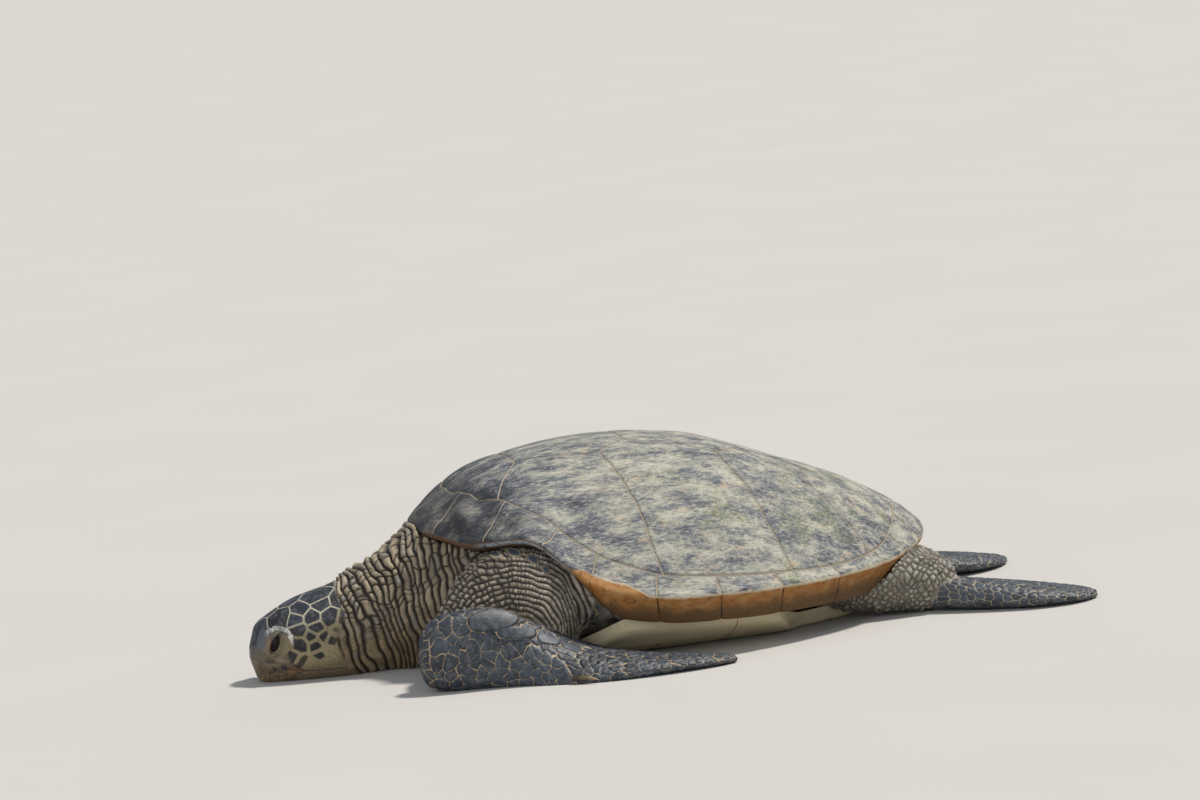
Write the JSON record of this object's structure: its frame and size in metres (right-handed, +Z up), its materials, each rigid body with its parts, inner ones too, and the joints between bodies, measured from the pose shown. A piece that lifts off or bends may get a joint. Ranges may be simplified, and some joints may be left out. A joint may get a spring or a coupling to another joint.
{
  "type": "sea turtle",
  "caption": "Life-size adult green sea turtle resting flat on level ground, head stretched forward and chin down, front flippers folded back beside the shell.",
  "frame": {"origin": "on the ground under the middle of the shell, on the flat of the plastron", "axes": "+Z up; -X towards the head and +X towards the tail; the animal's left side faces -Y"},
  "size_m": [1.3888, 0.8572, 0.3459],
  "materials": {
    "carapace": "dry horn scutes in olive grey with cream streaks, thin pale seams and an orange-brown underside to the rim",
    "plastron": "smooth ochre horn",
    "skin": "wrinkled, scaly dark grey-brown skin, with slate-blue scales on the head and flippers",
    "horn": "streaked olive-brown beak and dark claws, slightly glossy",
    "eye": "wet, near-black"
  },
  "bodies": {
    "root": {"nuchal": "carapace", "vertebral_1": "carapace", "vertebral_2": "carapace", "vertebral_3": "carapace", "vertebral_4": "carapace", "vertebral_5": "carapace", "costal_left_1": "carapace", "costal_left_2": "carapace", "costal_left_3": "carapace", "costal_left_4": "carapace", "marginal_left_1": "carapace", "marginal_left_2": "carapace", "marginal_left_3": "carapace", "marginal_left_4": "carapace", "marginal_left_5": "carapace", "marginal_left_6": "carapace", "marginal_left_7": "carapace", "marginal_left_8": "carapace", "marginal_left_9": "carapace", "marginal_left_10": "carapace", "marginal_left_11": "carapace", "supracaudal_left": "carapace", "costal_right_1": "carapace", "costal_right_2": "carapace", "costal_right_3": "carapace", "costal_right_4": "carapace", "marginal_right_1": "carapace", "marginal_right_2": "carapace", "marginal_right_3": "carapace", "marginal_right_4": "carapace", "marginal_right_5": "carapace", "marginal_right_6": "carapace", "marginal_right_7": "carapace", "marginal_right_8": "carapace", "marginal_right_9": "carapace", "marginal_right_10": "carapace", "marginal_right_11": "carapace", "supracaudal_right": "carapace", "plastron": "plastron", "trunk": "skin", "neck": "skin", "head": "skin", "lower_jaw": "skin", "tail": "skin", "upper_arm_left": "skin", "upper_arm_right": "skin", "hand_left": "skin", "hand_right": "skin", "thigh_left": "skin", "thigh_right": "skin", "foot_left": "skin", "foot_right": "skin", "beak_upper": "horn", "beak_lower": "horn", "claw_hand_left": "horn", "claw_hand_right": "horn", "claw_foot_left": "horn", "claw_foot_right": "horn", "eye_left": "eye", "eye_right": "eye"}
  },
  "joints": []
}
